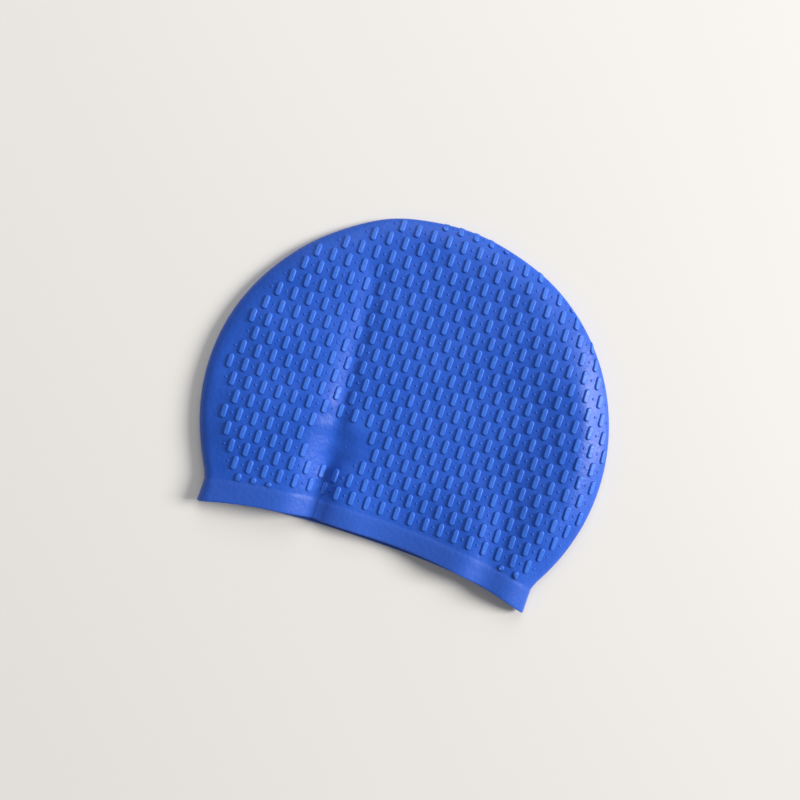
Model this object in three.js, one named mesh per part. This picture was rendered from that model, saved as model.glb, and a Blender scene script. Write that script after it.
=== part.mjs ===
// A silicone swimming cap, moulded in one piece and lying flat on a table.
// Two layers of rubber, front and back, meet in a rolled fold that runs from one corner of the rim over the
// crown to the other corner. The pocket between them is open at the rim, where a plain thicker band goes round.
// Raised ovals cover the front in a brick pattern, apart from a smooth strip along the mould's parting line and a
// smooth oval pad. The back lies flat on the table and is left plain.
// Seen from above, the outline is a circle with the band as a short straight-sided neck below it.
// Millimetres, +Z up. The cap is drawn with y = 0 on the line through the rim's two corners, and the end of the
// file moves the origin to the middle of the footprint, on the table.

import * as THREE from "three";

// The outline, as the cap lies.
const CAP_WIDTH = 230; // across the dome, from fold to fold
const NECK_STEP = 18.4; // the band's fold lies this far inside the dome's widest line, on either side
const NECK_HEIGHT = 14.9; // the band's sides run straight up this far, to where the dome swells out
const FRONT_RIM_ARCH = 12.2; // the middle of the front rim, beyond the line through the corners
const BACK_RIM_ARCH = 9.9;
const BAND_DEPTH = 11.8; // the plain band in its middle, from its rim to its upper edge
const BAND_END_SHARE = 0.94; // the band's upper edge ends at this share of the neck's height
const ARCH_POWER = 2.7; // how flat the arches stay before they drop to the corners

// The rubber.
const WALL = 1.0;
const BAND_EXTRA = 0.4; // the band is this much thicker, on the outside

// Heights, as the cap lies. The dome keeps more of its curve on one side of the cap, the full side.
const FOLD_HEIGHT = 3.2; // the outermost line of the fold, above the table
const FULL_SIDE = THREE.MathUtils.degToRad(35); // its direction, up from the cap's right
const RISE_FLAT = 4.4; // the front layer's plain height above the fold, at the fold of the flat side
const RISE_FULL = 5.8; // and at that of the full side
const ROLL_FLAT = 6.5; // the front layer curves up over this width on the flat side
const ROLL_FULL = 20;
const FOOT_ROLL = 5; // the back layer curves down to the table over this width
const CREST_INSET = 20; // a soft crest runs along both sides of the front, this far in from the fold
const CREST_OUTWARD = 15; // how far it spreads towards the fold
const CREST_INWARD = 26; // and towards the middle
const CREST_RISE_RIGHT = 5.2;
const CREST_RISE_LEFT = 1.0;
const FOLD_FADE = 8; // a fold of the table below fades out over this length beyond its ends

// The relief.
const PITCH_ACROSS = 8.88; // between ovals of one row
const PITCH_ALONG = 8.81; // between rows
const RELIEF = 1.0; // how far an oval stands up
const OVAL_WIDTH = 2.6; // across its flat top
const OVAL_LENGTH = 7.5;
const PATTERN_GAP = 1.5; // plain rubber between the band and the first row
const PATTERN_TURN = THREE.MathUtils.degToRad(-0.5); // the mould's pattern lies turned a little
const FIRST_OVAL = 4.1; // an oval of the first row has its middle this far right of the cap's middle
const ROW_SAG = 4.8; // how far the low rows hang down at the cap's sides
const PARTING_STRIP = 8; // the smooth strip is this wide at the fold, before the pattern's shift
const PATTERN_SHIFT = { x: 4.3, y: 3.2 };
const PAD = { x: -32, y: 57, width: 33, length: 25 };

// How finely the surfaces are divided.
const EDGE_STRIP = 3.6; // rings follow the outline this far in, and the brick pattern's grid fills the rest
const GRID_MARGIN = 1.1; // the grid keeps this far from the innermost ring
const FOLD_STEPS = 56;
const SIDE_STEPS = 2; // of those, along each straight side of the band
const RIM_STEPS = 16;
const OUTER_RINGS = [
  { inset: 0, band: 0 },
  { inset: 0.09, band: 0.06 },
  { inset: 0.35, band: 0.5 },
  { inset: 0.68, band: 0.94 },
  { inset: 1, band: 1 },
];
const INNER_RINGS = [
  { inset: 0, band: 0 },
  { inset: 0.25, band: 0.4 },
  { inset: 1, band: 1 },
];
const PLAIN_STRIDE = 4; // a flat layer takes cells this much larger

// Folds of the front layer, each along a line from a point up to a point: x and the spread to either side as
// shares of half the width, y as a share of the length, and the rise at either end as a share of RISE_FLAT.
const FRONT_FOLDS = [
  { name: "crease", x0: -0.271, y0: 0, x1: -0.278, y1: 0.187,
    left: 0.078, right: 0.036, rise0: -0.86, rise1: -0.82 },
  { name: "on the pad", x0: -0.287, y0: 0.255, x1: -0.292, y1: 0.296,
    left: 0.078, right: 0.122, rise0: -0.77, rise1: -0.73 },
  { name: "fading", x0: -0.304, y0: 0.364, x1: -0.357, y1: 0.79,
    left: 0.052, right: 0.037, rise0: -0.55, rise1: -0.3 },
  { name: "its left lip", x0: -0.452, y0: 0, x1: -0.452, y1: 0.322,
    left: 0.313, right: 0.113, rise0: 1, rise1: 1.18 },
  { name: "fading lip", x0: -0.47, y0: 0.395, x1: -0.522, y1: 0.832,
    left: 0.243, right: 0.122, rise0: 0.82, rise1: 0.14 },
  { name: "its right lip", x0: -0.07, y0: 0.042, x1: -0.226, y1: 0.333,
    left: 0.104, right: 0.078, rise0: 0.32, rise1: 0.34 },
  { name: "sunk rim", x0: 0.104, y0: 0, x1: 0.122, y1: 0.187,
    left: 0.191, right: 0.157, rise0: -0.41, rise1: -0.23 },
  { name: "lifted rim", x0: 0.47, y0: 0, x1: 0.487, y1: 0.281,
    left: 0.157, right: 0.096, rise0: 1.14, rise1: 0.32 },
  { name: "dip beside it", x0: 0.609, y0: 0.031, x1: 0.626, y1: 0.27,
    left: 0.078, right: 0.096, rise0: -0.41, rise1: -0.2 },
  { name: "left swell", x0: -0.783, y0: 0.218, x1: -0.748, y1: 0.541,
    left: 0.104, right: 0.174, rise0: 0.34, rise1: 0.27 },
];

// The oval's outline as shares of half its width and length, two points for each corner of its cell.
const OVAL_OUTLINE = [
  { across: -1, along: -0.66 },
  { across: -0.46, along: -1 },
  { across: 0.46, along: -1 },
  { across: 1, along: -0.66 },
  { across: 1, along: 0.66 },
  { across: 0.46, along: 1 },
  { across: -0.46, along: 1 },
  { across: -1, along: 0.66 },
];

const DOME_RADIUS = CAP_WIDTH / 2;
const HALF_BAND = DOME_RADIUS - NECK_STEP;
const DOME_CENTRE_Y = NECK_HEIGHT + Math.sqrt(DOME_RADIUS ** 2 - HALF_BAND ** 2);
const CAP_LENGTH = DOME_CENTRE_Y + DOME_RADIUS;
const FRONT = { rimArch: FRONT_RIM_ARCH, rollFlat: ROLL_FLAT, rollFull: ROLL_FULL };
const BACK = { rimArch: BACK_RIM_ARCH, rollFlat: FOOT_ROLL, rollFull: FOOT_ROLL };
const UP = 1;
const DOWN = -1;

/** A line that arches from the height side, above the rim's corners, to the height middle in the cap's middle. */
function archLine(x, middle, side) {
  const share = Math.min(1, Math.abs(x) / HALF_BAND);
  return side + (middle - side) * (1 - share ** ARCH_POWER);
}

function rimLine(x, layer) {
  return archLine(x, layer.rimArch, 0);
}

function bandEdge(x, layer) {
  return archLine(x, layer.rimArch + BAND_DEPTH, NECK_HEIGHT * BAND_END_SHARE);
}

/** The depth into the rubber of the outer surface, which stands out on the band, and of the inner one. */
const OUTSIDE = (x, y, layer) => (y < bandEdge(x, layer) - 1e-6 ? -BAND_EXTRA : 0);
const INSIDE = () => WALL;

/** How far a point of the plan lies inside the fold: of the dome's circle or of the band's straight sides. */
function insetAt(x, y) {
  const inDome = DOME_RADIUS - Math.hypot(x, y - DOME_CENTRE_Y);
  const inBand = y < DOME_CENTRE_Y ? HALF_BAND - Math.abs(x) : -Infinity;
  return Math.max(inDome, inBand);
}

/** A quarter of an ellipse: 0 at the fold, and 1 from the end of the roll on. */
function roll(share) {
  const left = 1 - Math.min(1, Math.max(0, share));
  return Math.sqrt(1 - left * left);
}

/** Goes from 0 at the fold of the flat side to 1 at that of the full side. */
function fullness(x, y) {
  const across = x * Math.cos(FULL_SIDE) + (y - DOME_CENTRE_Y) * Math.sin(FULL_SIDE);
  return 0.5 + (0.5 * across) / DOME_RADIUS;
}

/** The height of the front layer above the fold, with its crest, creases and swells, before it rolls down. */
function frontRise(x, y) {
  const inward = insetAt(x, y) - CREST_INSET;
  const fromCrest = inward / (inward > 0 ? CREST_INWARD : CREST_OUTWARD);
  const outX = x / Math.max(1, Math.hypot(x, y - DOME_CENTRE_Y));
  const crest = (x > 0 ? CREST_RISE_RIGHT : CREST_RISE_LEFT) * outX ** 2;
  const plain = THREE.MathUtils.lerp(RISE_FLAT, RISE_FULL, THREE.MathUtils.smoothstep(fullness(x, y), 0, 1));
  let rise = plain + crest * Math.exp(-fromCrest * fromCrest);
  for (const fold of FRONT_FOLDS) {
    const start = new THREE.Vector2(fold.x0 * DOME_RADIUS, fold.y0 * CAP_LENGTH);
    const end = new THREE.Vector2(fold.x1 * DOME_RADIUS, fold.y1 * CAP_LENGTH);
    const length = start.distanceTo(end);
    const direction = end.sub(start).divideScalar(length);
    const offset = new THREE.Vector2(x, y).sub(start);
    const along = offset.dot(direction);
    const toRight = offset.cross(direction);
    const nearest = THREE.MathUtils.clamp(along, 0, length);
    const sideways = toRight / ((toRight > 0 ? fold.right : fold.left) * DOME_RADIUS);
    const beyond = (along - nearest) / FOLD_FADE;
    const here = RISE_FLAT * THREE.MathUtils.lerp(fold.rise0, fold.rise1, nearest / length);
    rise += here * Math.exp(-sideways * sideways - beyond * beyond);
  }
  return rise;
}

/** The height of a layer's surface at a depth into the rubber. The back layer lies pressed flat on the table. */
function heightAt(x, y, layer, depth) {
  const width = THREE.MathUtils.lerp(layer.rollFlat, layer.rollFull, fullness(x, y));
  const share = (insetAt(x, y) - depth) / (width - depth);
  if (layer === FRONT) return FOLD_HEIGHT + (frontRise(x, y) - depth) * roll(share);
  return Math.max(0, FOLD_HEIGHT - (FOLD_HEIGHT - depth) * roll(share));
}

function surfacePoint(x, y, layer, depthOf) {
  return new THREE.Vector3(x, y, heightAt(x, y, layer, depthOf(x, y, layer)));
}

/** A point that stands off the front's outer surface, square to it. */
function raisedPoint(x, y, standOff) {
  const step = 0.05;
  const slopeX = (heightAt(x + step, y, FRONT, 0) - heightAt(x - step, y, FRONT, 0)) / (2 * step);
  const slopeY = (heightAt(x, y + step, FRONT, 0) - heightAt(x, y - step, FRONT, 0)) / (2 * step);
  const outward = new THREE.Vector3(-slopeX, -slopeY, 1).normalize();
  return surfacePoint(x, y, FRONT, () => 0).addScaledVector(outward, standOff);
}

const corners = []; // of the triangles, three points each

/** Adds a face whose points go anticlockwise as seen from above, turned over where it faces down. */
function addFace(points, facing) {
  const turned = facing === UP ? points : [...points].reverse();
  for (let k = 1; k + 1 < turned.length; k++) corners.push(turned[0], turned[k], turned[k + 1]);
}

/** A ring of a layer: from the left corner of the rim along the fold to the right one, then back along the rim. */
function makeRing(ring, layer, depthOf) {
  const place = (x, y) => surfacePoint(x, y, layer, depthOf);
  const rimRow = (x) => THREE.MathUtils.lerp(rimLine(x, layer), bandEdge(x, layer), ring.band);
  const insetFor = (depth) => depth + ring.inset * (EDGE_STRIP - depth);
  const bandInset = insetFor(depthOf(HALF_BAND, rimRow(HALF_BAND), layer));
  const halfRim = HALF_BAND - bandInset;
  const low = ring.band === 0 ? 0 : rimRow(halfRim);
  const domeInset = insetFor(depthOf(0, DOME_CENTRE_Y, layer));
  const radius = DOME_RADIUS - domeInset;
  const neckAngle = Math.acos((HALF_BAND - domeInset) / radius);
  const neck = DOME_CENTRE_Y - radius * Math.sin(neckAngle);
  const side = (sign, step) => place(sign * halfRim, THREE.MathUtils.lerp(low, neck, step / SIDE_STEPS));
  const points = [];
  for (let i = 0; i < SIDE_STEPS; i++) points.push(side(-1, i));
  const arcSteps = FOLD_STEPS - 2 * SIDE_STEPS;
  for (let i = 0; i <= arcSteps; i++) {
    const angle = THREE.MathUtils.lerp(Math.PI + neckAngle, -neckAngle, i / arcSteps);
    points.push(place(radius * Math.cos(angle), DOME_CENTRE_Y + radius * Math.sin(angle)));
  }
  for (let i = SIDE_STEPS - 1; i >= 0; i--) points.push(side(1, i));
  for (let i = 1; i < RIM_STEPS; i++) {
    const x = halfRim * Math.cos((Math.PI * i) / RIM_STEPS);
    points.push(place(x, rimRow(x)));
  }
  return points;
}

/** A corner of the brick pattern's grid, whose cells are half an oval's pitch wide and a row high. */
function gridCorner(i, j) {
  const firstRow = FRONT_RIM_ARCH + BAND_DEPTH + PATTERN_GAP;
  const x = FIRST_OVAL + (i - 0.5) * (PITCH_ACROSS / 2);
  const y = firstRow + j * PITCH_ALONG - DOME_CENTRE_Y;
  const corner = new THREE.Vector2(x, y).rotateAround(new THREE.Vector2(), PATTERN_TURN);
  corner.y += DOME_CENTRE_Y;
  const low = THREE.MathUtils.clamp(1 - corner.y / CAP_LENGTH, 0, 1);
  corner.y -= ROW_SAG * low * (corner.x / DOME_RADIUS) ** 2;
  return corner;
}

/** Whether a corner of the grid lies well inside the rings, in the space that the grid fills. */
function inGrid(point, layer) {
  const fromFold = insetAt(point.x, point.y) - EDGE_STRIP;
  const fromBand = point.y - bandEdge(point.x, layer);
  return Math.min(fromFold, fromBand) > GRID_MARGIN;
}

/** Where a point lies on the pad, in halves of its width and length: on its outline it is 1 away from 0, 0. */
function onPad(point) {
  return new THREE.Vector2((2 * (point.x - PAD.x)) / PAD.width, (2 * (point.y - PAD.y)) / PAD.length);
}

/** Moves a point that lies on the pad out to its outline, so that the pad trims the ovals round it. */
function trimmedByPad(point) {
  const offset = onPad(point);
  if (offset.length() > 1) return point;
  offset.normalize();
  return new THREE.Vector2(PAD.x + (offset.x * PAD.width) / 2, PAD.y + (offset.y * PAD.length) / 2);
}

/** Whether an oval belongs in this place: clear of the parting strip, and with its middle off the pad. */
function inPattern(middle) {
  const fromShifted = Math.hypot(middle.x - PATTERN_SHIFT.x, middle.y - DOME_CENTRE_Y - PATTERN_SHIFT.y);
  return fromShifted < DOME_RADIUS - PARTING_STRIP && onPad(middle).length() > 1;
}

/** One raised oval: a flat top with sloping sides down to the four corners of its cell. */
function addOval(cell, base) {
  const middle = cell[0].clone().add(cell[2]).multiplyScalar(0.5);
  const across = cell[1].clone().sub(cell[0]).setLength(OVAL_WIDTH / 2);
  const along = cell[3].clone().sub(cell[0]).setLength(OVAL_LENGTH / 2);
  const top = OVAL_OUTLINE.map((share) => {
    const point = middle.clone().addScaledVector(across, share.across).addScaledVector(along, share.along);
    const kept = trimmedByPad(point);
    return raisedPoint(kept.x, kept.y, RELIEF);
  });
  for (let k = 0; k < 4; k++) {
    addFace([base[k], top[2 * k + 1], top[2 * k]], UP);
    addFace([base[k], base[(k + 1) % 4], top[(2 * k + 2) % 8], top[2 * k + 1]], UP);
  }
  addFace([top[0], top[1], top[2], top[3]], UP);
  addFace([top[0], top[3], top[4], top[7]], UP);
  addFace([top[4], top[5], top[6], top[7]], UP);
}

/** Fills the middle of a surface with the grid's cells, and returns their outer edge as a clockwise loop. */
function fillGrid(layer, depthOf, facing, stride, withOvals) {
  const reach = Math.ceil(CAP_WIDTH / (stride * PITCH_ACROSS));
  const rows = Math.ceil(CAP_LENGTH / (stride * PITCH_ALONG));
  const edges = new Map(); // those that only one cell has, by the names of their two ends
  const placed = new Map();
  for (let j = 0; j < rows; j++) {
    for (let i = -reach; i < reach; i++) {
      const names = [[i, j], [i + 1, j], [i + 1, j + 1], [i, j + 1]];
      const cell = names.map(([a, b]) => gridCorner(a * stride, b * stride));
      if (!cell.every((point) => inGrid(point, layer))) continue;
      const base = names.map((name, k) => {
        if (!placed.has(name.join())) placed.set(name.join(), surfacePoint(cell[k].x, cell[k].y, layer, depthOf));
        return placed.get(name.join());
      });
      const middle = cell[0].clone().add(cell[2]).multiplyScalar(0.5);
      if (withOvals && (i + j) % 2 === 0 && inPattern(middle)) addOval(cell, base);
      else addFace(base, facing);
      for (let k = 0; k < 4; k++) {
        const [start, end] = [names[k].join(), names[(k + 1) % 4].join()];
        if (!edges.delete(end + " " + start)) edges.set(start + " " + end, [start, end]);
      }
    }
  }
  const next = new Map(edges.values());
  const first = next.keys().next().value;
  const loop = [placed.get(first)];
  for (let name = next.get(first); name !== first; name = next.get(name)) loop.push(placed.get(name));
  return loop.reverse();
}

/** The same loop, closed, starting from its point nearest to another point. */
function startNear(loop, point) {
  const distances = loop.map((p) => Math.hypot(p.x - point.x, p.y - point.y));
  const first = distances.indexOf(Math.min(...distances));
  return [...loop.slice(first), ...loop.slice(0, first + 1)];
}

/** How much a triangle's corners turn clockwise, as seen from above. */
function clockwise(a, b, c) {
  return (b.y - a.y) * (c.x - a.x) - (b.x - a.x) * (c.y - a.y);
}

/** Joins two clockwise loops, one around the other, by the strip of triangles whose cross edges are shortest. */
function addStrip(outerLoop, innerLoop, facing) {
  const lowest = new THREE.Vector3(0, 0, 0);
  const outer = startNear(outerLoop, lowest);
  const inner = startNear(innerLoop, lowest);
  const overlap = 1000; // what a triangle costs that would lie across its neighbours
  const price = (triangle, i, j) => outer[i].distanceTo(inner[j]) + (clockwise(...triangle) > 0.01 ? 0 : overlap);
  const cost = outer.map(() => inner.map(() => Infinity));
  const last = outer.map(() => inner.map(() => null));
  cost[0][0] = 0;
  for (let i = 0; i < outer.length; i++) {
    for (let j = 0; j < inner.length; j++) {
      const steps = [];
      if (i > 0) steps.push({ i: i - 1, j, triangle: [outer[i - 1], outer[i], inner[j]] });
      if (j > 0) steps.push({ i, j: j - 1, triangle: [outer[i], inner[j], inner[j - 1]] });
      for (const step of steps) {
        const total = cost[step.i][step.j] + price(step.triangle, i, j);
        if (total < cost[i][j]) {
          cost[i][j] = total;
          last[i][j] = step;
        }
      }
    }
  }
  for (let step = last.at(-1).at(-1); step; step = last[step.i][step.j]) {
    addFace([...step.triangle].reverse(), facing);
  }
}

/** One surface of a layer: the rings along the outline, the grid in the middle and the strip between them. */
function addSurface(layer, depthOf, facing, ringTable, stride, withOvals) {
  const rings = ringTable.map((ring) => makeRing(ring, layer, depthOf));
  for (let r = 0; r + 1 < rings.length; r++) {
    const [outer, inner] = [rings[r], rings[r + 1]];
    outer.forEach((point, i) => {
      const next = (i + 1) % outer.length;
      addFace([inner[i], inner[next], outer[next], point], facing);
    });
  }
  addStrip(rings.at(-1), fillGrid(layer, depthOf, facing, stride, withOvals), facing);
  return rings[0];
}

/** The lip along a rim, from the outer surface's edge to the inner one's. */
function addLip(outerRing, innerRing, facing) {
  for (let i = FOLD_STEPS; i < outerRing.length; i++) {
    const next = (i + 1) % outerRing.length;
    addFace([outerRing[i], outerRing[next], innerRing[next], innerRing[i]], facing);
  }
}

function makeCap() {
  const frontOuter = addSurface(FRONT, OUTSIDE, UP, OUTER_RINGS, 1, true);
  const frontInner = addSurface(FRONT, INSIDE, DOWN, INNER_RINGS, 1, false);
  addLip(frontOuter, frontInner, UP);
  const backOuter = addSurface(BACK, OUTSIDE, DOWN, OUTER_RINGS, PLAIN_STRIDE, false);
  const backInner = addSurface(BACK, INSIDE, UP, INNER_RINGS, PLAIN_STRIDE, false);
  addLip(backOuter, backInner, DOWN);
  const geometry = new THREE.BufferGeometry().setFromPoints(corners);
  geometry.computeVertexNormals();
  const silicone = new THREE.MeshStandardMaterial({ color: 0x2f5fcb, roughness: 0.5, metalness: 0 });
  const cap = new THREE.Mesh(geometry, silicone);
  cap.name = "cap";
  return cap;
}

const group = new THREE.Group();
const cap = makeCap();
cap.position.y = -CAP_LENGTH / 2;
group.add(cap);

export default group;
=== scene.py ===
# %% [markdown]
# A silicone swimming cap, lying flat
#
# The cap is one moulding: a thin bag of rubber with a thicker band round its open rim and raised ovals
# all over. On a table it lies flat, as two layers that meet in a rolled fold. This scene loads the
# measured model as a frame, builds the rubber bag as one skin, wraps the ovals round it, and photographs
# the cap from above.

import math
from bisect import bisect_right

import bmesh
import bpy
from mathutils import Matrix, Vector, noise


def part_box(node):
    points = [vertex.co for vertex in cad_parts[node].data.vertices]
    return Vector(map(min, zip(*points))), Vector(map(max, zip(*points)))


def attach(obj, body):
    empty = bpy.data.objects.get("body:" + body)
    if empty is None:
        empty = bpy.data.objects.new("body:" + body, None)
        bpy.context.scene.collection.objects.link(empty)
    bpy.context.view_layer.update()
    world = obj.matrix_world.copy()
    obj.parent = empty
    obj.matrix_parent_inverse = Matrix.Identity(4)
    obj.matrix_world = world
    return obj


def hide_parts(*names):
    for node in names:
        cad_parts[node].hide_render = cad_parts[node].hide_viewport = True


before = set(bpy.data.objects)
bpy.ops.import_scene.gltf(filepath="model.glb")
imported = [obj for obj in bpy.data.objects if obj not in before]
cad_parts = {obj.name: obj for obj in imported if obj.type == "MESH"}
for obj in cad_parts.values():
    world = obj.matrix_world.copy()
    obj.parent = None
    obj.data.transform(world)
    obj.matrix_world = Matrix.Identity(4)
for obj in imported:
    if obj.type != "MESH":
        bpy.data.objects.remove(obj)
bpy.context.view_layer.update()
low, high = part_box("cap")
print("cap frame, mm:", [round(1000 * (b - a), 1) for a, b in zip(low, high)])

# %% [markdown]
# The sizes are those of the measured model, in millimetres, with y = 0 on the line through the rim's two
# corners. The model's origin is the middle of the footprint, so everything moves down by half the cap's
# length at the end. Working in millimetres keeps the numbers readable, and one factor turns them to
# metres.

# %% Sizes
MM = 0.001
DOME_RADIUS = 115.0
NECK_STEP = 18.4  # the band's fold lies this far inside the dome's widest line
NECK_HEIGHT = 14.9
NECK_SOFTNESS = 3.0  # how far the corner between the neck and the dome is rounded off
HALF_BAND = DOME_RADIUS - NECK_STEP
DOME_Y = NECK_HEIGHT + math.sqrt(DOME_RADIUS**2 - HALF_BAND**2)
CAP_LENGTH = DOME_Y + DOME_RADIUS
BAND_DEPTH = 11.8
BAND_END = 0.94 * NECK_HEIGHT  # where the band's upper edge meets the fold
ARCH_POWER = 2.7  # how flat the rim's arch stays before it drops to the corners
WALL = 0.9
BAND_EXTRA = 0.3  # the band is this much thicker, on the outside
RIM_DROP = 0.8
FOLD_HEIGHT = 3.2  # the height of the fold over the table
RELIEF = 0.95  # how far the ovals stand off the rubber
print("outline, mm:", 2 * DOME_RADIUS, "by", round(CAP_LENGTH, 1))

# %% [markdown]
# Each layer has its own facts: how far its rim arches back from the corners, how wide its roll at the
# fold is on the cap's flat side and on its full side, and which way is out. The front layer rises from
# the fold to its crest. The back layer drops the short way down to the table and lies on its own ovals.

# %% Layers
FRONT = {"name": "front", "rim_arch": 12.2, "roll_flat": 6.5, "roll_full": 20.0, "up": 1}
BACK = {"name": "back", "rim_arch": 9.9, "roll_flat": 5.0, "roll_full": 5.0, "up": -1}


def arch(share, middle, side):
    """A line that arches from one height at the sides to another in the middle."""
    return side + (middle - side) * (1 - min(1.0, abs(share)) ** ARCH_POWER)


def rim_line(share, layer):
    """The rim, which droops a little more at the right corner."""
    return arch(share, layer["rim_arch"], 0.0) - RIM_DROP * max(0.0, share) ** 3


def band_edge(share, layer):
    return arch(share, layer["rim_arch"] + BAND_DEPTH, BAND_END)


print("band's upper edge in the middle, mm:", band_edge(0.0, FRONT), "and", band_edge(0.0, BACK))

# %% [markdown]
# The form of a soft thing lying down is easiest to hold as a height over the plan. One function for the
# height serves every surface, so the skin, its inside and the ovals agree. It needs the distance in from
# the fold first. The fold's line is the dome's circle with the band as a neck below it, and the corner
# between the two is rounded off.

# %% Distance in from the fold
def soft_most(a, b, soft):
    """The larger of two numbers, rounded off where they are close."""
    near = max(soft - abs(a - b), 0.0)
    return max(a, b) + near * near / (4 * soft)


FAR_OUTSIDE = -1000.0
SOFTER_INWARD = 0.6


def inset_at(x, y):
    """How far in from the fold a point lies. The corner at the neck gets softer further in."""
    in_dome = DOME_RADIUS - math.hypot(x, y - DOME_Y)
    in_band = HALF_BAND - abs(x) if y < DOME_Y else FAR_OUTSIDE
    softness = NECK_SOFTNESS + SOFTER_INWARD * max(0.0, in_dome, in_band)
    return soft_most(in_dome, in_band, softness)


print("from the fold to the dome's middle, mm:", round(inset_at(0.0, DOME_Y), 1))

# %% [markdown]
# Where rubber is folded over, it turns in a roll, a quarter of an ellipse here. The roll is widest and
# highest where the cap still keeps some of its dome, towards the upper right, and a broad crest runs
# along it there. How full a place is goes evenly from one side of the cap to the other.

# %% Roll, rise and crest
def roll(share):
    """A quarter of an ellipse: 0 at the fold, and 1 from the end of the roll on."""
    left = 1 - min(1.0, max(0.0, share))
    return math.sqrt(1 - left * left)


def smooth(share):
    """Goes from 0 to 1 without a kink at either end."""
    share = min(1.0, max(0.0, share))
    return share * share * (3 - 2 * share)


# The front's plain rise above the fold, on the flat side and on the full side, towards the upper right.
FULL_SIDE = math.radians(35)
RISE_FLAT = 4.4
RISE_FULL = 5.8

# The crest: how far in from the fold it runs, how far it spreads either way, and its rise on each side.
CREST_INSET = 20.0
CREST_OUTWARD = 15.0
CREST_INWARD = 26.0
CREST_RIGHT = 5.2
CREST_LEFT = 1.0


def fullness(x, y):
    """Goes from 0 at the flattest place of the fold to 1 at the fullest."""
    return 0.5 + 0.5 * (x * math.cos(FULL_SIDE) + (y - DOME_Y) * math.sin(FULL_SIDE)) / DOME_RADIUS


def roll_width(x, y, layer):
    return layer["roll_flat"] + (layer["roll_full"] - layer["roll_flat"]) * fullness(x, y)


for side, fold_x in (("left", -DOME_RADIUS), ("right", DOME_RADIUS)):
    print("front's roll at the", side, "in mm:", round(roll_width(fold_x, DOME_Y, FRONT), 1))

# %% [markdown]
# The crease, its lips and the lifts and dips of the rim come from how the cap was laid down. Each is a
# line with a soft ridge or valley along it, and the two sides have a spread of their own, because a lip
# leans over. They are added up, with a little noise, since soft rubber never lies quite even.

# %% Folds of the front
# Soft rubber is never even: the size of its unevenness, how far in from the fold it fades, and its pitch.
UNEVEN_MIDDLE = 0.35
UNEVEN_FOLD = 1.3
UNEVEN_REACH = 18.0
UNEVEN_PITCH = 16.0
UNEVEN_SEED = 0.5

# How far each fold fades out beyond its ends.
FOLD_FADE = 8.0

# Each fold: from a point up to a point in mm, its spread to the left and to the right, and its rise at
# either end. In order: the crease at the rim, on the pad and above it, the lip left of it and that lip
# further up, the lip right of it, the sunk rim, the lifted rim, the dip beside that, and the swell at the
# left.
FRONT_FOLDS = [
    ((-31.0, 0.0), (-31.8, 38.0), 9.0, 3.8, -4.7, -4.4),
    ((-33.0, 49.0), (-33.6, 57.0), 8.5, 14.0, -3.9, -3.7),
    ((-35.0, 70.0), (-41.0, 152.0), 6.0, 4.2, -2.4, -1.3),
    ((-52.0, 0.0), (-52.0, 62.0), 36.0, 13.0, 4.6, 4.8),
    ((-54.0, 76.0), (-60.0, 160.0), 32.0, 14.0, 4.2, 0.6),
    ((-8.0, 8.0), (-26.0, 64.0), 12.0, 9.0, 1.4, 1.5),
    ((12.0, 0.0), (14.0, 36.0), 22.0, 18.0, -1.8, -1.0),
    ((54.0, 0.0), (56.0, 54.0), 17.0, 11.0, 5.4, 1.4),
    ((70.0, 6.0), (72.0, 52.0), 9.0, 11.0, -1.8, -0.9),
    ((-90.0, 42.0), (-86.0, 104.0), 12.0, 20.0, 1.5, 1.2),
]


def front_rise(x, y):
    """How far the front would rise above the fold without the roll."""
    away = inset_at(x, y) - CREST_INSET
    away /= CREST_INWARD if away > 0 else CREST_OUTWARD
    to_right = x / max(1.0, math.hypot(x, y - DOME_Y))
    crest = (CREST_RIGHT if x > 0 else CREST_LEFT) * to_right**2
    rise = RISE_FLAT + (RISE_FULL - RISE_FLAT) * smooth(fullness(x, y))
    rise += crest * math.exp(-away * away)
    for (x0, y0), (x1, y1), spread_left, spread_right, rise0, rise1 in FRONT_FOLDS:
        length = math.hypot(x1 - x0, y1 - y0)
        dx, dy = (x1 - x0) / length, (y1 - y0) / length
        along = (x - x0) * dx + (y - y0) * dy
        to_side = (x - x0) * dy - (y - y0) * dx
        nearest = min(length, max(0.0, along))
        off = to_side / (spread_right if to_side > 0 else spread_left)
        beyond = (along - nearest) / FOLD_FADE
        rise += (rise0 + (rise1 - rise0) * nearest / length) * math.exp(-off * off - beyond * beyond)
    uneven = UNEVEN_MIDDLE + UNEVEN_FOLD * fullness(x, y) * math.exp(-inset_at(x, y) / UNEVEN_REACH)
    return rise + uneven * noise.noise((x / UNEVEN_PITCH, y / UNEVEN_PITCH, UNEVEN_SEED))


print("folds:", len(FRONT_FOLDS), "and the rise in the middle, mm:", round(front_rise(0.0, DOME_Y), 1))

# %% [markdown]
# The front's height is the fold's height and its rise, brought in by the roll. The back drops by its own
# roll until it lies on its ovals. The depth says how far inside the rubber a surface lies: 0 for the
# outside, and the wall for the inside.

# %% Height over the plan
def height_at(x, y, layer, depth):
    share = (inset_at(x, y) - depth) / (roll_width(x, y, layer) - depth)
    if layer is FRONT:
        return FOLD_HEIGHT + (front_rise(x, y) - depth) * roll(share)
    return FOLD_HEIGHT - (FOLD_HEIGHT - RELIEF - depth) * roll(share)


crest_x = DOME_RADIUS - CREST_INSET
print("crest height at the right, mm:", round(height_at(crest_x, DOME_Y, FRONT, 0.0), 1))

# %% [markdown]
# The skin is modelled as sheets of grid cells, each bent into place: a fan from the middle of the dome
# out to its outline for each side of each layer, and a strip for the band that goes down to the rim,
# round its lip and up the inside. Their edges meet point for point, so merging doubles turns them into
# one closed skin. A fan was chosen because its rings run parallel to the fold, where the curve is tight,
# and can stand closer there.

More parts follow.
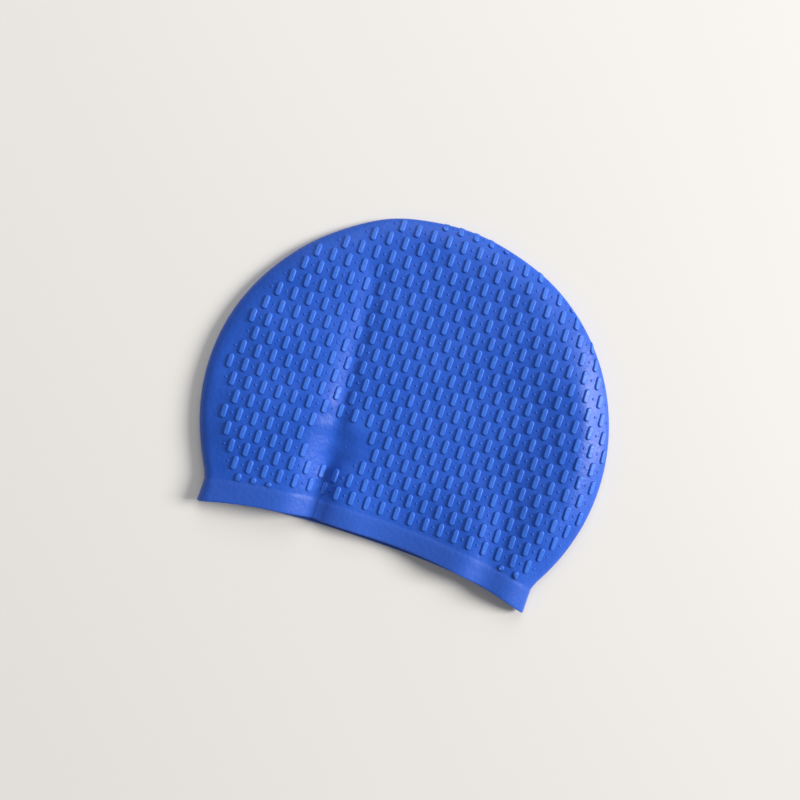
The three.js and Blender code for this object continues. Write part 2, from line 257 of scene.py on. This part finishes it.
# %% The sheet that becomes a fan or a strip
def bent_grid(bm, across, along, place):
    made = bmesh.ops.create_grid(bm, x_segments=across, y_segments=along, size=0.5)
    for vert in made["verts"]:
        vert.co = place(vert.co.x + 0.5, vert.co.y + 0.5)
    return made["verts"]


ARC_STEPS = 120
SIDE_STEPS = 2
BAND_STEPS = 52
LOOP_STEPS = ARC_STEPS + 2 * SIDE_STEPS + BAND_STEPS
BAND_EVEN = 0.25
print("steps round the outline:", LOOP_STEPS)

# %% [markdown]
# All rings of a fan are the outline drawn in towards the dome's middle. The outline is walked in fixed
# numbers of steps, so that the fans of both layers and the strips find the same points along the fold.

# %% The outline in the plan
def band_share(step):
    """Goes from -1 to 1 over the band, with closer steps near the folds, where the rubber turns over."""
    even = 2 * step / BAND_STEPS - 1
    return math.sin(even * math.pi / 2) * (1 - BAND_EVEN) + even * BAND_EVEN


def side_x(y, depth):
    """Half the outline's width low down, where the circle meets the band's side in a soft corner."""
    radius = DOME_RADIUS - depth
    circle_x = math.sqrt(max(0.0, radius**2 - (y - DOME_Y) ** 2))
    return soft_most(circle_x, HALF_BAND - depth, NECK_SOFTNESS)


def outline_point(step, layer, depth):
    """The dome's outline in the plan: over the crown from left to right, and back along the band."""
    radius = DOME_RADIUS - depth
    half = HALF_BAND - depth
    neck = math.acos(half / radius)
    if step <= ARC_STEPS:
        angle = math.pi + neck + (-neck - math.pi - neck) * step / ARC_STEPS
        x, y = radius * math.cos(angle), DOME_Y + radius * math.sin(angle)
        if y < DOME_Y:
            x = math.copysign(side_x(y, depth), x)
        return Vector((x, y, 0))
    step -= ARC_STEPS
    neck_y = DOME_Y - radius * math.sin(neck)
    if step < SIDE_STEPS:
        y = neck_y + (BAND_END - neck_y) * step / SIDE_STEPS
        return Vector((side_x(y, depth), y, 0))
    step -= SIDE_STEPS
    if step <= BAND_STEPS:
        share = band_share(BAND_STEPS - step)
        return Vector((share * side_x(BAND_END, depth), band_edge(share, layer), 0))
    step -= BAND_STEPS
    y = BAND_END + (neck_y - BAND_END) * step / SIDE_STEPS
    return Vector((-side_x(y, depth), y, 0))


print("half the outline's width at the neck, mm:", round(side_x(BAND_END, 0.0), 1))

# %% [markdown]
# The steps from ring to ring are measured along the rubber, not along the plan, so that the tight fold
# gets enough of them. They grow towards the flat middle. That needs the length of the roll: it is added
# up once, in short straight pieces, and a lookup turns a length along the rubber into a distance in from
# the fold.

# %% Lengths along the rubber
ROLL_PIECES = 240
CREST_AT_ROLL = 1.6  # about what the crest adds to the front's rise by the end of its roll


def roll_table(width, drop):
    """Lengths along the rubber, and the distances in from the fold that go with them, over one roll."""
    lengths, insets = [0.0], [0.0]
    z_before = 0.0
    for i in range(1, ROLL_PIECES + 1):
        inset = width * (i / ROLL_PIECES) ** 2
        z = drop * roll(inset / width)
        lengths.append(lengths[-1] + math.hypot(inset - insets[-1], z - z_before))
        insets.append(inset)
        z_before = z
    return lengths, insets


def look_up(value, xs, ys):
    """Finds the y that goes with a value among the xs, and goes on straight beyond the last one."""
    if value >= xs[-1]:
        return ys[-1] + value - xs[-1]
    i = max(1, bisect_right(xs, value))
    share = (value - xs[i - 1]) / (xs[i] - xs[i - 1])
    return ys[i - 1] + share * (ys[i] - ys[i - 1])


FRONT["lengths"], FRONT["insets"] = roll_table(FRONT["roll_full"], RISE_FULL + CREST_AT_ROLL)
BACK["lengths"], BACK["insets"] = roll_table(BACK["roll_full"], FOLD_HEIGHT - RELIEF)
for layer in (FRONT, BACK):
    layer["radius"] = DOME_RADIUS + layer["lengths"][-1] - layer["insets"][-1]
    print(layer["name"], "radius along the rubber, mm:", round(layer["radius"], 1))


RING_GROWTH = 1.12


def ring_insets(layer, step_near, step_far):
    """Distances in from the fold for the rings of a fan, by growing steps along the rubber."""
    insets, length, step = [0.0], 0.0, step_near
    while insets[-1] < DOME_RADIUS - step_far:
        length += step
        step = min(step_far, step * RING_GROWTH)
        insets.append(look_up(length, layer["lengths"], layer["insets"]))
    insets[-1] = DOME_RADIUS
    return insets


# %% [markdown]
# A fan places each corner of its grid by its ring and by its step round the outline. On the fold itself
# both layers take the same height, so that they meet.

# %% Fans
def add_fan(bm, layer, depth, step_near, step_far):
    insets = ring_insets(layer, step_near, step_far)
    middle = Vector((0, DOME_Y, 0))
    steps = len(insets) - 1

    def place(u, v):
        ring, step = round(v * steps), round(u * LOOP_STEPS)
        share = 1 - insets[ring] / DOME_RADIUS
        point = middle.lerp(outline_point(step, layer, depth), share)
        on_fold = ring == 0 and (step <= ARC_STEPS + SIDE_STEPS or step >= LOOP_STEPS - SIDE_STEPS)
        point.z = FOLD_HEIGHT if on_fold else height_at(point.x, point.y, layer, depth)
        return point

    bent_grid(bm, LOOP_STEPS, steps, place)


# %% [markdown]
# The strip of the band places each corner by its row and by its share of the band's width. The rows go
# from the band's upper edge down to the rim, round the lip in half a circle and up the inside. The first
# of them rise by the small step that makes the band stand out.

# %% The band's strip
BAND_STEP = 0.2  # the band's upper edge rises over this share of its depth
BAND_ROWS = [0.0, 0.05, 0.1, 0.15, 0.2, 0.34, 0.5, 0.7, 0.86]
LIP_STEPS = 6
INSIDE_ROWS = [0.86, 0.6, 0.3, 0.0]
print("band rows:", len(BAND_ROWS), "outside,", LIP_STEPS + 1, "round the lip,", len(INSIDE_ROWS), "inside")


def band_depth_at(row):
    """The band stands out from the shell by a small smooth step along its upper edge."""
    return -BAND_EXTRA * smooth(row / BAND_STEP)


def add_strip(bm, layer):
    rows = [(row, band_depth_at(row), 0.0) for row in BAND_ROWS]
    thick = (WALL + BAND_EXTRA) / 2
    centre = (WALL - BAND_EXTRA) / 2
    for i in range(LIP_STEPS + 1):
        angle = math.pi * i / LIP_STEPS
        rows.append((1.0, centre - thick * math.cos(angle), thick * (1 - math.sin(angle))))
    rows += [(row, WALL, 0.0) for row in INSIDE_ROWS]
    steps = len(rows) - 1

    def place(u, v):
        row, depth, back = rows[round(v * steps)]
        share = band_share(round(u * BAND_STEPS))
        rim = rim_line(share, layer)
        y = band_edge(share, layer) * (1 - row) + rim * row + back
        x = share * side_x(BAND_END * (1 - row), depth)
        return Vector((x, y, FOLD_HEIGHT if abs(share) == 1 else height_at(x, y, layer, depth)))

    return bent_grid(bm, BAND_STEPS, steps, place)


# %% [markdown]
# The outside gets closer rings than the inside, which hardly shows, and the front closer ones than the
# back. The band is plain and a little paler than the rest, so its corners are marked with an attribute
# for the material.

# %% The whole skin
MERGE = 0.02
INSIDE_RINGS = (1.6, 4.0)

cap_bm = bmesh.new()
on_band = cap_bm.verts.layers.float.new("band")
for layer, outside_rings in ((FRONT, (1.0, 2.6)), (BACK, (1.2, 5.0))):
    for vert in add_strip(cap_bm, layer):
        vert[on_band] = 1.0
    add_fan(cap_bm, layer, 0.0, *outside_rings)
    add_fan(cap_bm, layer, WALL, *INSIDE_RINGS)
bmesh.ops.remove_doubles(cap_bm, verts=cap_bm.verts, dist=MERGE)
bmesh.ops.recalc_face_normals(cap_bm, faces=cap_bm.faces)
open_edges = [edge for edge in cap_bm.edges if not edge.is_manifold]
print("skin faces:", len(cap_bm.faces), "open edges:", len(open_edges))

# %% [markdown]
# The ovals are low islands of rubber with round ends, steep sides, a soft shoulder and flat tops. One
# oval is modelled from a circle: its two halves are moved apart, and insets that also raise the face make
# its foot, its side and its shoulder. It has only a few dozen faces, because some hundreds of copies of
# it follow. Between the ovals stand low round pips, each a short cone.

# %% One oval and one pip
OVAL_WIDTH = 3.4
OVAL_LENGTH = 8.3
OVAL_SEGMENTS = 12
SINK = 0.2  # how deep the foot of an oval goes into the skin
PIP_FOOT = 0.9
PIP_TOP = 0.45
PIP_HEIGHT = 0.4
PIP_LIFT = 0.08

# Each step of an oval: how far it goes inward and how far up.
FRONT["oval_steps"] = ((0.14, SINK + 0.5), (0.46, RELIEF - 0.5), (0.3, 0.0))
BACK["oval_steps"] = ((0.1, SINK + 0.3), (0.4, RELIEF - 0.3))


def make_oval(layer):
    bm = bmesh.new()
    # Turned by half a segment, so that no corner lies on the line where the two halves part.
    turned = Matrix.Rotation(math.pi / OVAL_SEGMENTS, 4, "Z")
    bmesh.ops.create_circle(
        bm, cap_ends=True, segments=OVAL_SEGMENTS, radius=OVAL_WIDTH / 2, matrix=turned
    )
    for vert in bm.verts:
        vert.co.y += math.copysign((OVAL_LENGTH - OVAL_WIDTH) / 2, vert.co.y)
        vert.co.z = -SINK
    top = bm.faces[:]
    bmesh.ops.reverse_faces(bm, faces=[f for f in top if f.normal.z < 0])
    # The insets lift the face itself, so a copy of it closes the foot.
    bottom = bmesh.ops.duplicate(bm, geom=top)
    bmesh.ops.reverse_faces(bm, faces=[f for f in bottom["geom"] if isinstance(f, bmesh.types.BMFace)])
    for inward, up in layer["oval_steps"]:
        bmesh.ops.inset_region(bm, faces=top, thickness=inward, depth=up, use_boundary=True)
    bmesh.ops.remove_doubles(bm, verts=bm.verts, dist=0.001)
    mesh = bpy.data.meshes.new("oval")
    bm.to_mesh(mesh)
    print("oval faces:", len(bm.faces), "open edges:", sum(not e.is_manifold for e in bm.edges))
    bm.free()
    return mesh


def make_pip():
    bm = bmesh.new()
    bmesh.ops.create_cone(
        bm, cap_ends=True, segments=8, radius1=PIP_FOOT, radius2=PIP_TOP, depth=PIP_HEIGHT
    )
    for vert in bm.verts:
        vert.co.z += PIP_LIFT
    mesh = bpy.data.meshes.new("pip")
    bm.to_mesh(mesh)
    bm.free()
    return mesh


for layer in (FRONT, BACK):
    layer["oval"] = make_oval(layer)
pip_mesh = make_pip()

# %% [markdown]
# The mould cuts the ovals in straight rows, and lying down moves them. The rows sag at the sides, the
# columns fan out towards the crown, and the crease gathers some rubber. One function does this to any
# place of the moulded pattern.

# %% How the rows lie
# The rows sag at the sides: by how much, this far from the middle, in full up to a height and then fading
# over a length to a least share.
SAG = 3.2
SAG_X = 88.0
SAG_FULL_Y = 55.0
SAG_FADE = 95.0
SAG_LEAST = 0.1

# The columns fan out above a height, by a share of x for each mm, and the rows part towards the crown.
FAN_LEFT = 0.0002
FAN_RIGHT = 0.00045
FAN_Y = 75.0
CROWN_PART = 0.00045
CROWN_Y = 110.0

# The crease gathers rubber: by how much, around which x, how softly, and fading up to a height.
GATHER = 2.5
GATHER_X = -35.0
GATHER_SOFT = 9.0
GATHER_TOP_Y = 80.0
GATHER_LENGTH = 51.0
GATHER_MOST = 1.05


def as_laid(x, y):
    """Moves a place of the moulded pattern to where it lies on the cap."""
    fade = min(1.0, max(SAG_LEAST, 1.0 - (y - SAG_FULL_Y) / SAG_FADE))
    gather = GATHER * min(GATHER_MOST, max(0.0, (GATHER_TOP_Y - y) / GATHER_LENGTH))
    x += gather * (0.5 - 0.5 * math.tanh((x - GATHER_X) / GATHER_SOFT))
    x *= 1 + (FAN_RIGHT if x > 0 else FAN_LEFT) * (y - FAN_Y)
    y += CROWN_PART * max(0.0, y - CROWN_Y) ** 2 - SAG * (x / SAG_X) ** 2 * fade
    return x, y


print("the right end of a low row sags, mm:", round(SAG_FULL_Y - as_laid(SAG_X, SAG_FULL_Y)[1], 1))

# %% [markdown]
# The ovals make a brick pattern on each half of the cap, with a pip wherever the bricks leave room. A
# smooth strip separates the halves, and the cap was laid down a little turned, so that the strip shows at
# the left edge and hides under the right one. The pattern is laid out flat on the unrolled rubber.

# %% Where the ovals and pips go
PITCH_X = 8.83
PITCH_Y = 8.8
FIRST_X = 3.55
FIRST_Y = 29.9
TURN = math.radians(-0.5)
FIELD_SHIFT = (4.8, 7.6)  # how far the mould's parting line lies off the fold, across and along
PARTING = 9.8  # the smooth strip on either side of the parting line
PAD = (-32.0, 57.0, 33.0, 25.0)  # its middle, width and length
ROWS = range(-1, 24)
HALF_COLUMNS = range(-32, 33)


def pattern_places(layer):
    """The middles of ovals and pips, as (x, y, is it an oval), on the unrolled rubber of one layer."""
    side = layer["up"]
    for row in ROWS:
        for column in HALF_COLUMNS:
            x = FIRST_X + column * PITCH_X / 2
            y = FIRST_Y + row * PITCH_Y - DOME_Y
            x, y = x * math.cos(TURN) - y * math.sin(TURN), x * math.sin(TURN) + y * math.cos(TURN)
            x, y = as_laid(x, y + DOME_Y)
            off = math.hypot(x - FIELD_SHIFT[0], y - DOME_Y - FIELD_SHIFT[1] * side)
            if off < layer["radius"] - PARTING:
                yield x * side, y, (row + column) % 2 == 0


print("places on the front:", sum(1 for place in pattern_places(FRONT)))

# %% [markdown]
# The band and the oval pad are smooth. A pip near them is left out, and so is an oval with its middle on
# them. The other ovals stay and are trimmed later. All islands go into one mesh first, still flat, and a
# list keeps which points belong to which island.

# %% The pattern on the unrolled rubber
def on_pad(x, y, grow=0.0):
    """Less than 1 on the pad, 1 on its outline and more beyond it."""
    px, py, width, length = PAD
    return math.hypot((x - px) / (width / 2 + grow), (y - py) / (length / 2 + grow))


def edge_here(x, layer):
    return band_edge(x / HALF_BAND, layer)


# An oval whose middle lies less than this below the band's edge is trimmed, and one further down is left
# out.
OVAL_BELOW_EDGE = 1.2
PIP_CLEAR = 1.5  # a pip keeps this far from the band and the pad

pattern_bm = bmesh.new()
counts = {}
islands = []
for layer in (FRONT, BACK):
    for x, y, is_oval in pattern_places(layer):
        above = y - edge_here(x, layer)
        if above < (-OVAL_BELOW_EDGE if is_oval else PIP_CLEAR):
            continue
        if layer is FRONT and on_pad(x, y, 0.0 if is_oval else PIP_CLEAR) < 1:
            continue
        start = len(pattern_bm.verts)
        pattern_bm.from_mesh(layer["oval"] if is_oval else pip_mesh)
        pattern_bm.verts.ensure_lookup_table()
        islands.append((start, len(pattern_bm.verts), x, y, layer))
        key = layer["name"] + (" ovals" if is_oval else " pips")
        counts[key] = counts.get(key, 0) + 1
print("pattern:", counts)

# %% [markdown]
# To wrap the pattern round the fold, a place on the unrolled rubber is turned into a place in space: the
# part of its way out from the dome's middle that lies beyond the flat middle follows the roll, and what
# is longer than that goes on under the other layer. Each point of an oval is moved there, and stands off
# square to the surface.

# %% Wrapping
def on_rubber(x, y, layer):
    """The place in space of a point of the unrolled rubber."""
    dx, dy = x, y - DOME_Y
    radius = math.hypot(dx, dy)
    before_fold = layer["radius"] - radius
    here = layer if before_fold > 0 else (BACK if layer is FRONT else FRONT)
    inset = look_up(abs(before_fold), here["lengths"], here["insets"])
    share = (DOME_RADIUS - inset) / max(radius, 1e-6)
    px, py = dx * share, dy * share + DOME_Y
    return Vector((px, py, height_at(px, py, here, 0.0)))


SLOPE_STEP = 0.12  # the surface's slope is read over twice this length
FOLD_STRETCH = 4.5  # this near the fold, the rubber is stretched and the ovals on it stand lower
FOLD_STAND = 0.3


def wrapped(x, y, stand, layer):
    """A point that stands off the rubber, square to it."""
    step = SLOPE_STEP
    here = on_rubber(x, y, layer)
    across = on_rubber(x + step, y, layer) - on_rubber(x - step, y, layer)
    along = on_rubber(x, y + step, layer) - on_rubber(x, y - step, layer)
    from_fold = abs(layer["radius"] - math.hypot(x, y - DOME_Y))
    if stand > 0:
        stand *= FOLD_STAND + (1 - FOLD_STAND) * smooth(from_fold / FOLD_STRETCH)
    return here + across.cross(along).normalized() * stand * layer["up"]


TRIM_CLEAR = 0.5


def trimmed(x, y, layer):
    """Keeps a point of an oval above the band and off the pad."""
    y = max(y, edge_here(x, layer) + TRIM_CLEAR)
    if layer is FRONT:
        off = on_pad(x, y)
        if off < 1:
            px, py = PAD[:2]
            x, y = px + (x - px) / max(off, 0.01), py + (y - py) / max(off, 0.01)
    return x, y


# How far each point of an oval or pip stands up, as a share of the relief. The material paints high points
# paler and low ones darker: painted light on the tops and painted shade between the ovals.
raised = pattern_bm.verts.layers.float.new("raised")
for start, end, x, y, layer in islands:
    for i in range(start, end):
        vert = pattern_bm.verts[i]
        vert[raised] = max(0.0, vert.co.z / RELIEF)
        px, py = trimmed(x + vert.co.x, y + vert.co.y, layer)
        vert.co = wrapped(px, py, vert.co.z, layer)
print("pattern faces:", len(pattern_bm.faces))

# %% [markdown]
# The islands of the back face down, so their faces are turned over. Then the pattern joins the skin in
# one mesh, since the real cap is one piece. A soft cap's outline is no perfect circle, so the whole mesh
# is pushed in and out a little towards the fold. Then it is scaled to metres and moved to the frame's
# origin.

# %% One mesh
# Where the outline swells: the angle round the dome's middle and the spread in degrees, and how far out
# in mm.
SWELLS = [(112, 9, 1.1), (75, 11, -0.7), (166, 16, 0.5), (206, 15, -0.9)]
SWELL_POWER = 4  # the higher, the closer to the fold the swelling stays


def swollen(place):
    """Moves a point in or out with the outline's swells."""
    x, y = place.x, place.y - DOME_Y
    angle = math.degrees(math.atan2(y, x)) % 360
    out = sum(far * math.exp(-(((angle - centre) / spread) ** 2)) for centre, spread, far in SWELLS)
    share = (math.hypot(x, y) / DOME_RADIUS) ** SWELL_POWER
    return place + Vector((x, y, 0)) * (out * share / DOME_RADIUS)


bmesh.ops.recalc_face_normals(pattern_bm, faces=pattern_bm.faces)
pattern_mesh = bpy.data.meshes.new("pattern")
pattern_bm.to_mesh(pattern_mesh)
pattern_bm.free()
cap_bm.verts.layers.float.new("raised")
cap_bm.from_mesh(pattern_mesh)
for vert in cap_bm.verts:
    vert.co = swollen(vert.co)
to_frame = Matrix.Scale(MM, 4) @ Matrix.Translation((0, -CAP_LENGTH / 2, 0))
bmesh.ops.transform(cap_bm, matrix=to_frame, verts=cap_bm.verts)
cap_mesh = bpy.data.meshes.new("cap_rubber")
cap_bm.to_mesh(cap_mesh)
cap_bm.free()
for polygon in cap_mesh.polygons:
    polygon.use_smooth = True
print("cap points:", len(cap_mesh.vertices))

# %% [markdown]
# The finished mesh stands for the cap of the measured model: it rides on its body and replaces its node.

# %% The cap in the frame
cap = bpy.data.objects.new("cap_rubber", cap_mesh)
bpy.context.scene.collection.objects.link(cap)
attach(cap, "root")
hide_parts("cap")
cap_mesh.calc_loop_triangles()
print("cap triangles:", len(cap_mesh.loop_triangles))

# %% [markdown]
# Silicone rubber, compression-moulded in a satin-etched mould and coloured through. It has an index of
# refraction of about 1.41 and a soft sheen. The mould's etching is too fine to show from here, so it is
# drawn about 2 mm coarse: it breaks the reflection up. A trace of powder and handling makes the tone and
# the gloss patchy over a centimetre or two. The ovals' tops are painted paler than the ground between
# them, as painted light on the tops and painted shade in the gaps. The band is a little paler and greyer.

# %% Colours and nodes
def srgb(hex_colour):
    """An sRGB hex colour as linear red, green, blue and alpha."""
    parts = [int(hex_colour[i : i + 2], 16) / 255 for i in (1, 3, 5)]
    linear = [c / 12.92 if c <= 0.04045 else ((c + 0.055) / 1.055) ** 2.4 for c in parts]
    return (*linear, 1.0)


def add_node(tree, kind, settings=None, inputs=None):
    """Adds a node, sets its properties, and sets or links its inputs."""
    node = tree.nodes.new(kind)
    for key, value in (settings or {}).items():
        setattr(node, key, value)
    for key, value in (inputs or {}).items():
        if isinstance(value, bpy.types.NodeSocket):
            tree.links.new(value, node.inputs[key])
        else:
            node.inputs[key].default_value = value
    return node


# %% Satin moulded silicone
silicone = bpy.data.materials.new("satin_moulded_silicone")
silicone.use_nodes = True
tree = silicone.node_tree
shader = tree.nodes["Principled BSDF"]
shader.inputs["IOR"].default_value = 1.41
shader.inputs["Specular IOR Level"].default_value = 0.5
coords = add_node(tree, "ShaderNodeTexCoord").outputs["Object"]
mottle = add_node(
    tree, "ShaderNodeTexNoise", inputs={"Vector": coords, "Scale": 60.0, "Detail": 4.0, "Roughness": 0.6}
)
tone = add_node(tree, "ShaderNodeValToRGB", inputs={"Fac": mottle.outputs["Fac"]})
tone.color_ramp.elements[0].position = 0.3
tone.color_ramp.elements[0].color = srgb("#1f54bd")
tone.color_ramp.elements[1].position = 0.7
tone.color_ramp.elements[1].color = srgb("#275cc8")

# Painted light and shade of the relief: the higher a point stands, the paler its colour, so the ovals' tops
# are painted lighter and the ground between them darker.
# Inputs 6 and 7 of a mix node are its two colours, and output 2 is the mixed one.
stands = add_node(tree, "ShaderNodeAttribute", {"attribute_name": "raised"})
painted_relief_shade = add_node(
    tree,
    "ShaderNodeMix",
    {"data_type": "RGBA"},
    {"Factor": stands.outputs["Fac"], 6: tone.outputs["Color"], 7: srgb("#366dd4")},
)
plain = add_node(tree, "ShaderNodeAttribute", {"attribute_name": "band"})
paler = add_node(
    tree,
    "ShaderNodeMix",
    {"data_type": "RGBA"},
    {"Factor": plain.outputs["Fac"], 6: painted_relief_shade.outputs[2], 7: srgb("#2d5bc0")},
)
tree.links.new(paler.outputs[2], shader.inputs["Base Color"])
print("colour nodes:", len(tree.nodes))

# %% [markdown]
# The same noise that shifts the tone also shifts the gloss, because handling changes both. The finer one
# drives a bump, which is cheaper than real relief of this size and can't be told from it.

# %% Gloss and etching
gloss = add_node(
    tree,
    "ShaderNodeMapRange",
    inputs={
        "Value": mottle.outputs["Fac"],
        "From Min": 0.3,
        "From Max": 0.7,
        "To Min": 0.39,
        "To Max": 0.5,
    },
)
tree.links.new(gloss.outputs["Result"], shader.inputs["Roughness"])
etch = add_node(tree, "ShaderNodeTexNoise", inputs={"Vector": coords, "Scale": 420.0, "Detail": 4.0})
bump = add_node(
    tree, "ShaderNodeBump", inputs={"Height": etch.outputs["Fac"], "Strength": 0.65, "Distance": 0.0004}
)
tree.links.new(bump.outputs["Normal"], shader.inputs["Normal"])
cap_mesh.materials.append(silicone)
print("material:", silicone.name)

# %% [markdown]
# The cap lies on a pale painted table, which belongs to the stage and not to the object.

# %% Floor
FLOOR_HALF = 3.0
floor_bm = bmesh.new()
bmesh.ops.create_grid(floor_bm, x_segments=1, y_segments=1, size=FLOOR_HALF)
floor_mesh = bpy.data.meshes.new("floor")
floor_bm.to_mesh(floor_mesh)
floor_bm.free()
floor = bpy.data.objects.new("floor", floor_mesh)
bpy.context.scene.collection.objects.link(floor)
paint = bpy.data.materials.new("pale_table")
paint.use_nodes = True
painted = paint.node_tree.nodes["Principled BSDF"]
painted.inputs["Base Color"].default_value = srgb("#e9e6e1")
painted.inputs["Roughness"].default_value = 0.6
floor_mesh.materials.append(paint)
print("floor, m:", 2 * FLOOR_HALF)

# %% [markdown]
# The camera looks straight down, turned so that the cap lies aslant as in the photo. Its lens follows
# from its height and from the width that the picture shows on the table.

# %% Camera
CAMERA_TURN = math.radians(18.81)
CAMERA_HEIGHT = 0.485
CAMERA_PLACE = (-0.0066, -0.00605)
FRAME_WIDTH = 0.4514  # what the picture shows across, on the table
SENSOR_WIDTH = 36.0
camera_data = bpy.data.cameras.new("camera")
camera_data.sensor_width = SENSOR_WIDTH
camera_data.sensor_fit = "HORIZONTAL"
camera_data.lens = SENSOR_WIDTH * CAMERA_HEIGHT / FRAME_WIDTH
camera = bpy.data.objects.new("camera", camera_data)
camera.location = (*CAMERA_PLACE, CAMERA_HEIGHT)
camera.rotation_euler = (0, 0, CAMERA_TURN)
bpy.context.scene.collection.objects.link(camera)
bpy.context.scene.camera = camera
print("lens, mm:", round(camera_data.lens, 1))

# %% [markdown]
# A large window low on the right gives the long soft shading of the relief and the sheen on the full
# side. A weak light from above the crown lifts the far edge, and the pale room fills the shadows.

# %% Light
def area_light(name, place, target, size, power, colour):
    data = bpy.data.lights.new(name, "AREA")
    data.shape = "DISK"
    data.size = size
    data.energy = power
    data.color = colour
    light = bpy.data.objects.new(name, data)
    light.location = place
    light.rotation_euler = (Vector(target) - Vector(place)).to_track_quat("-Z", "Y").to_euler()
    bpy.context.scene.collection.objects.link(light)


# Each light: its name, its place as seen in the picture, its target, size in metres, watts and colour.
LIGHTS = [
    ("window", (5.25, 0.3, 2.92), (0.0, 0.0, 0.0), 2.5, 480.0, (1.0, 0.985, 0.965)),
    ("sky", (0.3, 1.7, 1.5), (0.0, 0.1, 0.0), 1.8, 17.0, (0.98, 0.99, 1.0)),
]
to_photo = Matrix.Rotation(CAMERA_TURN, 3, "Z")
for name, seen_at, target, size, power, colour in LIGHTS:
    area_light(name, to_photo @ Vector(seen_at), target, size, power, colour)
world = bpy.data.worlds.new("room")
bpy.context.scene.world = world
world.use_nodes = True
world.node_tree.nodes["Background"].inputs["Color"].default_value = srgb("#e9ebee")
world.node_tree.nodes["Background"].inputs["Strength"].default_value = 0.29
bpy.context.scene.view_settings.view_transform = "Standard"
print("lights:", [light[0] for light in LIGHTS])
